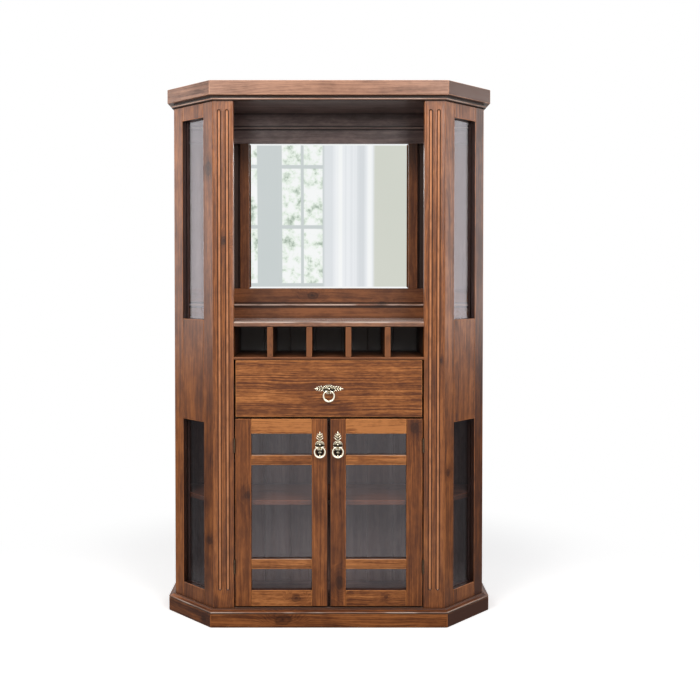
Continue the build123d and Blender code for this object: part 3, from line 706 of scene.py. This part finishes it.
class Casting:
    """A cast metal piece made of rows of points, each with its patina from 0, rubbed bright, to 1, dark."""

    def __init__(self, middle):
        self.middle = middle
        self.work = bmesh.new()
        self.layer = self.work.verts.layers.float.new("patina")

    def rows(self, rows, closed):
        """Joins neighbouring rows of points by faces, each row open or closed round."""
        made = []
        for row in rows:
            made.append([])
            for (right, up, out), patina in row:
                place = (self.middle[0] + right * MM, PULL_FACE_Y - out * MM, self.middle[1] + up * MM)
                vert = self.work.verts.new(place)
                vert[self.layer] = patina
                made[-1].append(vert)
        for lower, upper in zip(made, made[1:]):
            count = len(lower)
            for first in range(count if closed else count - 1):
                second = (first + 1) % count
                self.work.faces.new((lower[first], lower[second], upper[second], upper[first]))

    def leaflet(self, start, heading, length, wide, tall, least=0, blunt=POINTED):
        """A half-round blade that lies on the face, pointed or blunt at its end."""
        steps, around = 10, 8
        rows = []
        for step in range(steps + 1):
            share = step / steps
            swell = max(0.02, math.sin(math.pi * share ** (POINTED / blunt))) ** blunt
            right, up = (start[i] + heading[i] * length * share for i in range(2))
            row = []
            for turn in range(around + 1):
                angle = math.pi * turn / around
                aside = wide / 2 * swell * math.cos(angle)
                spot = (right - heading[1] * aside, up + heading[0] * aside, tall * swell * math.sin(angle))
                row.append((spot, max(least, 1 - 1.7 * math.sin(angle))))
            rows.append(row)
        self.rows(rows, False)

    def leaf(self, angle, end=LEAF_END, leaflets=LEAFLETS, backing=BACKING_WIDE):
        """A leaf of paired blades along a rib, pointing at this angle from the plate's middle."""
        out = (math.cos(angle), math.sin(angle))
        start = times(LEAF_START, out)
        self.leaflet(start, out, end - LEAF_START - BACKING_SHORT, backing, BACKING_TALL, 1)
        self.leaflet(start, out, end - LEAF_START, *RIB_SIZE, RUBBED)
        for along, length in leaflets:
            for side in (-1, 1):
                lean = angle + side * LEAFLET_ANGLE
                heading = (math.cos(lean), math.sin(lean))
                self.leaflet(times(along, out), heading, length, *BLADE_SIZE, blunt=BLUNT)
        self.leaflet(times(end - LEAF_TIP, out), out, LEAF_TIP, *TIP_SIZE)

    def dome(self, half_wide, half_tall):
        """The arched cowl: a bright rim, a dark fluted hollow and a bead in the middle, its lower part
        darkened as painted shade.
        """
        around = 72
        rows = []
        for share, out, patina in DOME_PROFILE:
            row = []
            for turn in range(around):
                angle = 2 * math.pi * turn / around
                inside = PETAL_SHARES[0] < share < PETAL_SHARES[1]
                petals = PETAL_HEIGHT * math.cos(PETALS * angle) if inside else 0
                up = max(math.sin(angle), -DOME_FOOT_SHARE) * half_tall
                spot = (share * half_wide * math.cos(angle), share * up, out + petals)
                # Painted shade: the lower part of the dome is darkened as if lit from above
                lower_shade = 0.9 * min(1, max(0, 0.1 - math.sin(angle)) * 3) if share > 0.3 else 0
                row.append((spot, min(1, max(0, patina + lower_shade - petals))))
            rows.append(row)
        self.rows(rows, True)

    def bead(self, centre, radii, patina=0.0):
        steps, around = 8, 14
        rows = []
        for step in range(steps + 1):
            tilt = math.pi * step / steps
            row = []
            for turn in range(around):
                angle = 2 * math.pi * turn / around
                ball = (math.sin(tilt) * math.cos(angle), math.cos(tilt), math.sin(tilt) * math.sin(angle))
                row.append((tuple(centre[i] + radii[i] * ball[i] for i in range(3)), patina))
            rows.append(row)
        self.rows(rows, True)

    def lug(self):
        """The bracket whose eye carries the ring's pins, with a drop under it."""
        steps = 12
        outline = [(0, LUG_RADIUS)]
        for turn in range(steps + 1):
            angle = QUARTER - math.pi * turn / steps
            outline.append((PIVOT_REACH + LUG_RADIUS * math.cos(angle), LUG_RADIUS * math.sin(angle)))
        outline.append((0, -LUG_RADIUS))
        middle = PIVOT_REACH * LUG_MIDDLE_SHARE
        rows = []
        for right, shrink in LUG_RIMS:
            row = []
            for out, up in outline:
                reach = middle + (out - middle) * shrink
                row.append(((right * LUG_HALF, up * shrink - PIVOT_DROP, reach), 0.6 if out > 10 else 0.9))
            rows.append(row)
        self.rows(rows, True)
        self.bead((0, -PIVOT_DROP - LUG_BEAD_DROP, PIVOT_REACH - LUG_BEAD_BACK), LUG_BEAD)

    def ring(self):
        """The drop ring: heavier at its foot, its curled ends turned in to the pins."""
        steps, around = 40, 16
        points = list(RING_CURL)
        end = QUARTER - RING_OPENING
        for step in range(steps + 1):
            angle = end - (end + QUARTER) * step / steps
            points.append((RING_RADIUS * math.cos(angle), RING_RADIUS * math.sin(angle) - RING_DROP))
        path = points + [(-right, up) for right, up in reversed(points[:-1])]
        rows = []
        for count, (right, up) in enumerate(path):
            before, after = path[max(count - 1, 0)], path[min(count + 1, len(path) - 1)]
            along = Vector((after[0] - before[0], after[1] - before[1])).normalized()
            wire = RING_WIRE + RING_SWELL * min(1, max(0, -up / SWELL_DROP)) ** SWELL_POWER
            wire *= RING_END_SHARE if count in (0, len(path) - 1) else 1
            row = []
            for turn in range(around):
                angle = 2 * math.pi * turn / around
                aside = wire * math.cos(angle)
                spot = (right - along.y * aside, up + along.x * aside - PIVOT_DROP,
                        PIVOT_REACH + min(wire, RING_FLAT) * math.sin(angle))
                row.append((spot, max(0, -math.sin(angle)) * 0.7))
            rows.append(row)
        self.rows(rows, True)
        for side in (-1, 1):
            self.bead((side * RING_BEAD_ASIDE, -RING_BEAD_DROP - PIVOT_DROP, PIVOT_REACH), RING_BEAD, RUBBED)
            self.pin(side)

    def pin(self, side):
        """The ring's pin in the eye of the lug."""
        rows = []
        for right in (PIN_START, PIN_END):
            rows.append([((side * right, PIN_RADIUS * math.sin(a * EIGHTH) - PIVOT_DROP,
                           PIVOT_REACH + PIN_RADIUS * math.cos(a * EIGHTH)), RUBBED) for a in range(8)])
        self.rows(rows, True)

    def replace(self, node, name, material):
        """Puts the casting in the place of a CAD node."""
        bmesh.ops.remove_doubles(self.work, verts=self.work.verts, dist=1e-6)
        bmesh.ops.recalc_face_normals(self.work, faces=self.work.faces)
        for face in self.work.faces:
            face.smooth = True
        place_piece(name, mesh_of(self.work, name), node, material)


def make_pull(name, middle, leaves, dome, material):
    """A plate of leaves, dome, beads and lug, and its ring."""
    plate = Casting(middle)
    for leaf in leaves:
        plate.leaf(*leaf)
    plate.dome(*dome)
    for side in (-1, 1):
        aside, down = side * dome[0] * COWL_BEAD_SHARES[0], dome[1] * COWL_BEAD_SHARES[1]
        plate.bead((aside, -down, COWL_BEAD_OUT), COWL_BEAD)
    plate.lug()
    plate.replace(name + "_pull_plate", name + "_pull_leaves", material)
    ring = Casting(middle)
    ring.ring()
    ring.replace(name + "_pull_ring", name + "_pull_drop", material)


# Stains, as lightest, middle and darkest wood
WARM = ((0.6, 0.23, 0.07), (0.36, 0.122, 0.034), (0.12, 0.034, 0.011))
RUDDY = ((0.44, 0.15, 0.042), (0.225, 0.07, 0.02), (0.065, 0.018, 0.007))
ASHEN = ((0.3, 0.21, 0.19), (0.17, 0.115, 0.105), (0.06, 0.038, 0.032))
DEEP = ((0.26, 0.095, 0.036), (0.13, 0.044, 0.018), (0.04, 0.013, 0.007))
SHADE = ((0.3, 0.19, 0.15), (0.2, 0.122, 0.094), (0.1, 0.058, 0.044))
CORNICE = ((0.5, 0.26, 0.165), (0.33, 0.162, 0.1), (0.115, 0.05, 0.03))
LEDGE = ((0.42, 0.18, 0.088), (0.24, 0.1, 0.05), (0.1, 0.04, 0.022))
BARE = ((0.66, 0.45, 0.25), (0.54, 0.34, 0.17), (0.36, 0.2, 0.09))

# Lines of painted highlight on the noses of mouldings and bars (share above 0) and of painted shade beside
# and under them and at the niche's top (below 0), as height, half height and share
PLINTH_LINES = ((0.0527, 0.0022, 0.95), (0.0488, 0.0016, -0.8), (0.0605, 0.0016, -0.6))
CORNICE_LINES = ((1.8402, 0.0021, 0.95), (1.8345, 0.0024, -0.95), (1.8465, 0.003, -0.85))
NICHE_LINES = ((1.1166, 0.0032, 0.95), (1.1236, 0.0026, -0.9), (1.1088, 0.0034, -0.9), (1.779, 0.002, 0.5),
               (1.785, 0.0024, -0.8), (1.773, 0.0022, -0.8))
NICHE_TOP_SHADE = (1.8, 0.2, -0.7)
LEDGE_LINES = ((1.0644, 0.0023, 0.95),)
BAR_LINES = ((0.599, 0.0014, 0.5), (0.5735, 0.005, -0.35), (0.2326, 0.0014, 0.5), (0.207, 0.005, -0.35))

# The seam between the doors, painted with shade, as X, half width and share
DOOR_SEAMS = ((0, 0.0064, 0.96),)

# Knots, as X, Z, half width and half height in metres
FRONT_KNOTS = ((-0.365, 1.35, 0.012, 0.014), (0.39, 0.93, 0.005, 0.008))
PLINTH_KNOTS = ((-0.16, 0.027, 0.03, 0.016), (-0.44, 0.022, 0.01, 0.009))
SPLAY_KNOTS = ((-0.421, 1.6, 0.013, 0.022), (-0.421, 0.295, 0.011, 0.013), (0.42, 0.535, 0.008, 0.012))
RAIL_KNOTS = ((-0.115, 0.095, 0.015, 0.012), (0.2, 0.1, 0.007, 0.006))
STILE_KNOTS = ((-0.285, 0.46, 0.01, 0.012), (0.036, 0.15, 0.013, 0.022), (0.3, 0.695, 0.014, 0.016))
NICHE_KNOTS = ((-0.06, 1.152, 0.02, 0.012), (0.2, 1.118, 0.016, 0.01))

# Materials
front_pine = pine("pine_front", *RUDDY, ring_share=0.24, streak_share=0.32, shine=0.44, knots=FRONT_KNOTS)
plinth_pine = pine("pine_plinth", *RUDDY, ring_share=0.34, streak_share=0.46, shine=0.25, stretch=0.6,
                   knots=PLINTH_KNOTS, lines=PLINTH_LINES)
top_pine = pine("pine_cornice", *CORNICE, ring_share=0.26, streak_share=0.38, shine=0.4, stretch=0.5,
                lines=CORNICE_LINES)
splay_pine = pine("pine_splay", *RUDDY, ring_share=0.26, streak_share=0.34, shine=0.44, reach=0.035,
                  shade=0.95, knots=SPLAY_KNOTS)
drawer_pine = pine("pine_drawer", *WARM, ring_share=0.3, streak_share=0.85, fleck_share=0.14, stretch=0.4,
                   fine=1.9)
rail_pine = pine("pine_rails", *WARM, ring_share=0.3, streak_share=0.46, fleck_share=0.14, stretch=0.6,
                 fine=1.3, knots=RAIL_KNOTS, lines=BAR_LINES)
stile_pine = pine("pine_stiles", *RUDDY, ring_share=0.26, streak_share=0.34, knots=STILE_KNOTS,
                  seams=DOOR_SEAMS)
niche_pine = pine("pine_niche", *DEEP, knots=NICHE_KNOTS, lines=(*NICHE_LINES, NICHE_TOP_SHADE))
crown_pine = pine("pine_niche_top", *ASHEN, ring_share=0.1, streak_share=0.12, reach=0.03, lines=NICHE_LINES)
# The bottle cells are darkened deep inside as painted shade
cell_pine = pine("pine_cells", *DEEP, reach=0.1, shade=0.95)
ledge_pine = pine("pine_ledge", *LEDGE, streak_share=0.5, fleck_share=0.14, gloss=0.2, shine=0.7, stretch=0.4,
                  lines=LEDGE_LINES, painted_top_sheen=(0.5, 0.44, 0.42))
inner_wood = pine("pine_inside", *SHADE, streak_share=0.16, gloss=0.5, shine=0.2, rub_and_highlight=0.2)
back_wood = pine("pine_back", *SHADE, streak_share=0.1, gloss=0.5, shine=0.2, rub_and_highlight=0.2, shade=0.3, shaded_back=True)
bare_pine = pine("pine_bare", *BARE, gloss=0.55, shine=0.3)
clear = glass("clear_pane", (0.87, 0.85, 0.88), (1, 0.97, 0.985))
mirror_silver = silvered()
brass = cast_brass()
steel = metal("hinge_steel", (0.12, 0.09, 0.06), (0.05, 0.037, 0.025), 0.4)
catch = plastic("catch_plastic", (0.12, 0.08, 0.06))

# Wooden nodes: node, wood, how the grain lies, how far the face is turned, how dark it is, how much darker on
# the right and lighter on the left as painted shade and light, and how wide the eased edges are
boards = [
    ("plinth_front_board", plinth_pine, "level", "run", 0.4),
    # The splayed plinth and cornice boards are darkened as painted shade, the right ones more
    ("plinth_splay_boards", plinth_pine, "level", "run", 1.4, 0.35),
    ("plinth_side_boards", plinth_pine, "level", "run", 0.6),
    ("plinth_moulding", plinth_pine, "level", "run", 0.75),
    ("cornice_front_board", top_pine, "level", "run", 0.12),
    ("cornice_splay_boards", top_pine, "level", "run", 1.45, 0.6),
    ("cornice_side_boards", top_pine, "level", "run", 0.5),
    ("cornice_bead", top_pine, "level", "run", 0.4),
    ("cornice_top_board", top_pine, "lying", 0, 0.6),
    ("left_post", front_pine, "upright", 0, 0.45),
    ("right_post", front_pine, "upright", 0, 0.5),
    ("left_splay_stiles", splay_pine, "upright", EIGHTH, 0.75),
    ("right_splay_stiles", splay_pine, "upright", EIGHTH, 0.56),
    ("left_splay_panels", splay_pine, "upright", EIGHTH, 0.65),
    ("right_splay_panels", splay_pine, "upright", EIGHTH, 0.5),
    ("side_boards", splay_pine, "upright", QUARTER, 0.6),
    ("ledge", ledge_pine, "lying", 0, 0.4),
    ("niche_top_rail", crown_pine, "level", 0, 0.8),
    ("niche_bottom_rail", niche_pine, "level", 0, 0.42),
    ("niche_stiles", niche_pine, "upright", 0, 0.5),
    # The niche's ceiling board is darkened as painted shade
    ("niche_ceiling_board", crown_pine, "lying", 0, 1.1),
    ("back_panel", back_wood, "upright", 0, 0.65, 0, 0.0005),
    ("mirror_backing", inner_wood, "upright", 0),
    ("rack_floor", cell_pine, "lying", 0, 0.2),
    ("rack_dividers", cell_pine, "deep", 0, 0),
    ("partitions", cell_pine, "upright", QUARTER, 0.5),
    ("dust_board", inner_wood, "lying", 0),
    ("bottom_board", inner_wood, "lying", 0),
    ("shelf", niche_pine, "lying", 0, 0.2),
    ("shelf_battens", inner_wood, "deep", 0),
    ("splay_glazing_beads", inner_wood, "upright", EIGHTH),
    ("drawer_front", drawer_pine, "level", 0, 0.42),
    ("drawer_box", bare_pine, "level", 0),
    ("drawer_bottom", bare_pine, "lying", 0),
    ("left_door_stiles", stile_pine, "upright", 0, 0.55),
    ("left_door_rails", rail_pine, "level", 0, 0.42),
    ("left_door_glazing_beads", inner_wood, "upright", 0),
    ("right_door_stiles", stile_pine, "upright", 0, 0.66),
    ("right_door_rails", rail_pine, "level", 0, 0.42),
    ("right_door_glazing_beads", inner_wood, "upright", 0),
]

# Nodes that keep their shape and get their finish: the material and its nodes
finishes = [
    (clear, [side + pane for side in SIDES for pane in ("_upper_pane", "_lower_pane", "_door_pane")]),
    (mirror_silver, ["mirror"]),
    (steel, ["drawer_runners", "drawer_slides", "hinge_post_leaves", "left_door_hinge_leaves",
             "right_door_hinge_leaves"]),
    (catch, ["door_catches"]),
]

for board in boards:
    dress(*board)
for material, nodes in finishes:
    for node in nodes:
        give(frame["nodes"][node].data, material)
make_pull("drawer", DRAWER_PULL, ((0,), (math.pi,)), DRAWER_DOME, brass)
door_leaves = ((QUARTER, CROWN_END, CROWN_LEAFLETS), (-QUARTER, DROP_END, DROP_LEAFLETS, DROP_BACKING_WIDE))
for side, sign in zip(SIDES, (-1, 1)):
    make_pull(side + "_door", (sign * DOOR_PULL[0], DOOR_PULL[1]), door_leaves, DOOR_DOME, brass)


# The room that the mirror sees: its half width, its foot and its height as directions
ROOM_HALF, ROOM_FOOT, ROOM_RISE = 0.0867, -0.0243, 0.1568

# Shares of its width and height: the glazed door's stile, its bars and how wide they are, where the jamb, the
# curtain and the wall start, and where the room ends in white
STILE_SPANS = ((0.06, 0.075), (0.19, 0.2))
PANE_START, PANE_PITCH = 0.2, 0.135
PANE_ROWS = (0.08, 0.48, 0.89)
BAR_EDGE, ROW_EDGE = (0.006, 0.012), (0.009, 0.016)
JAMB_START, CURTAIN_START, WALL_START = (0.46, 0.48), (0.51, 0.53), (0.77, 0.79)
ROOM_ENDS = ((0.9, 1.2), (0.7, 0.9))

# Its tones
CURTAIN_TONES = ((0, (0.74, 0.76, 0.79)), (0.6, (0.9, 0.91, 0.94)), (1, (1, 1, 1)))
GARDEN_TONES = ((0.34, (0.4, 0.48, 0.4)), (0.46, (0.86, 0.93, 0.84)), (0.54, (1, 1, 1)))
FRAME_TONE, JAMB_TONE, WALL_TONE = (0.64, 0.68, 0.68), (0.8, 0.82, 0.85), (0.7, 0.71, 0.64)

# The light that comes from all round
SKY_TONE, SKY_STRENGTH = (0.95, 0.97, 1, 1), 0.26

WHITE = (1, 1, 1)


def mirrored_room(net, glossy):
    """A glazed door on a garden, a curtain and a pale wall, straight ahead of the mirror and white around."""
    aside, _, rise = net.parts(net.node("TexCoord").outputs["Generated"])
    across = net.math("MULTIPLY_ADD", aside, 0.5 / ROOM_HALF, 0.5)
    up = net.math("MULTIPLY_ADD", rise, 1 / ROOM_RISE, -ROOM_FOOT / ROOM_RISE)
    drape = net.noise(net.join(across, 0.0, 0.0), (15, 1, 1), 3.0)
    leaves = net.noise(net.join(across, 0.0, up), (14, 1, 12), 4.0, 0.65)
    curtain = net.ramp(net.span(drape, 0.35, 0.65), CURTAIN_TONES)
    bar = net.math("PINGPONG", net.math("SUBTRACT", across, PANE_START), PANE_PITCH / 2)
    framed = net.fall(bar, *BAR_EDGE)
    for level in PANE_ROWS:
        framed = net.math("MAXIMUM", framed, net.fall(net.gap(up, level), *ROW_EDGE))
    stile = net.product(net.span(across, *STILE_SPANS[0]), net.fall(across, *STILE_SPANS[1]))
    room = net.mix(net.math("MAXIMUM", framed, stile), net.ramp(leaves, GARDEN_TONES), FRAME_TONE)
    room = net.mix(net.span(across, *JAMB_START), room, JAMB_TONE)
    room = net.mix(net.span(across, *CURTAIN_START), room, curtain)
    room = net.mix(net.span(across, *WALL_START), room, WALL_TONE)
    level_part = net.fall(net.gap(across, 0.5), *ROOM_ENDS[0])
    upright_part = net.fall(net.gap(up, 0.5), *ROOM_ENDS[1])
    ahead = net.product(level_part, upright_part)
    return net.mix(net.product(ahead, glossy), WHITE, room)


def make_world():
    """White to the camera, a room to the mirror and gloss; dimmer as light."""
    world = bpy.data.worlds.new("studio")
    bpy.context.scene.world = world
    net = Net(world, "OutputWorld")
    paths = net.node("LightPath").outputs
    room = mirrored_room(net, paths["Is Glossy Ray"])
    seen = net.math("MAXIMUM", paths["Is Camera Ray"], paths["Is Glossy Ray"])
    seen = net.math("MAXIMUM", seen, paths["Is Transmission Ray"])
    lit = net.node("Background", Color=SKY_TONE, Strength=SKY_STRENGTH).outputs[0]
    around = net.node("Background", Color=room, Strength=1.0).outputs[0]
    net.finish(net.mix_shaders(seen, lit, around))


# Floor: how wide it is, where its shadow fades to white, and its tones as light and to the camera
FLOOR_RADIUS = 9
FLOOR_FADE = (0.9, 1.7)
FLOOR_LIT, FLOOR_SEEN = (0.26, 0.28), (0.94, 0.96)
FLOOR_LIFT = 0.42

# How bright the mirror and gloss see it: less to the sides, less near the cabinet, and fully white in front
GLOSS_ASIDE = (0.7, 1.2, 1.0, 0.08)
GLOSS_AHEAD = (0.3, 0.9, 0.25, 1.0)
GLOSS_FRONT = (0.9, 1.8)


def floor_material():
    """Keeps the shadow near the cabinet and turns into the white ground further out."""
    net = material_net("studio_floor")
    flat = net.vector("MULTIPLY", net.place(), (1, 1, 0))
    far = net.span(net.vector("LENGTH", flat), *FLOOR_FADE)
    paths = net.node("LightPath").outputs
    aside = net.math("ABSOLUTE", net.parts(flat)[0])
    ahead = net.product(net.parts(flat)[1], -1.0)
    bright = net.product(net.span(aside, *GLOSS_ASIDE), net.span(ahead, *GLOSS_AHEAD))
    bright = net.math("MAXIMUM", bright, net.span(ahead, *GLOSS_FRONT))
    mirrored = net.product(paths["Is Glossy Ray"], bright)
    seen = net.math("MAXIMUM", paths["Is Camera Ray"], paths["Is Transmission Ray"])
    seen = net.math("MAXIMUM", seen, mirrored)
    soft = net.noise(flat, (3, 3, 3), 2.0)
    lit, plain = (net.ramp(soft, [(0.3, (low,) * 3), (0.7, (high,) * 3)])
                  for low, high in (FLOOR_LIT, FLOOR_SEEN))
    tint = net.mix(seen, lit, plain)
    lifted = net.node("AddShader")
    net.put(lifted.inputs[0], net.node("BsdfDiffuse", Color=tint).outputs[0])
    lift = net.product(seen, FLOOR_LIFT)
    net.put(lifted.inputs[1], net.node("Emission", Color=(*WHITE, 1), Strength=lift).outputs[0])
    white = net.node("Emission", Color=(*WHITE, 1), Strength=1.0).outputs[0]
    return net.finish(net.mix_shaders(net.product(far, seen), lifted.outputs[0], white))


def make_floor():
    work = bmesh.new()
    bmesh.ops.create_circle(work, cap_ends=True, segments=64, radius=FLOOR_RADIUS)
    mesh = mesh_of(work, "studio_floor")
    give(mesh, floor_material())
    floor = add_object("studio_floor", mesh)


def make_lamp(name, place, aim, wide, tall, radiance, colour=WHITE):
    """A soft panel of light; radiance is how bright the panel itself is."""
    light = bpy.data.lights.new(name, "AREA")
    light.shape = "RECTANGLE"
    light.size, light.size_y = wide, tall
    light.energy = radiance * math.pi * wide * tall
    light.color = colour
    lamp = add_object(name, light)
    lamp.location = place
    lamp.rotation_euler = (Vector(aim) - Vector(place)).to_track_quat("-Z", "Y").to_euler()
    lamp.visible_camera = False


def make_camera():
    data = bpy.data.cameras.new("camera")
    data.lens = CAMERA_LENS
    data.sensor_width = CAMERA_SENSOR
    data.shift_x, data.shift_y = CAMERA_SHIFT
    camera = add_object("camera", data)
    camera.location = CAMERA_PLACE
    camera.rotation_euler = (math.radians(90 - CAMERA_PITCH), 0, 0)
    bpy.context.scene.camera = camera


make_world()
make_floor()
make_lamp("key_lamp", (-1.6, -2.4, 3.0), (0, 0, 1.3), 1.3, 0.9, 12.6, (1, 0.97, 0.93))
make_lamp("fill_lamp", (1.5, -2.5, 2.9), (0, 0, 1.3), 1.3, 0.9, 9.8, (1, 0.97, 0.95))
for side, radiance in ((-1, 2.1), (1, 2.3)):
    make_lamp("side_lamp", (side * 2.6, 0.2, 1.58), (side * 0.45, -0.12, 1.5), 1.0, 1.5, radiance)
    make_lamp("gloss_lamp", (side * 0.95, -3.1, 2.2), (side * 0.37, -0.15, 1.7), 0.6, 0.7, 8.2)
make_camera()
bpy.context.scene.view_settings.view_transform = "Standard"
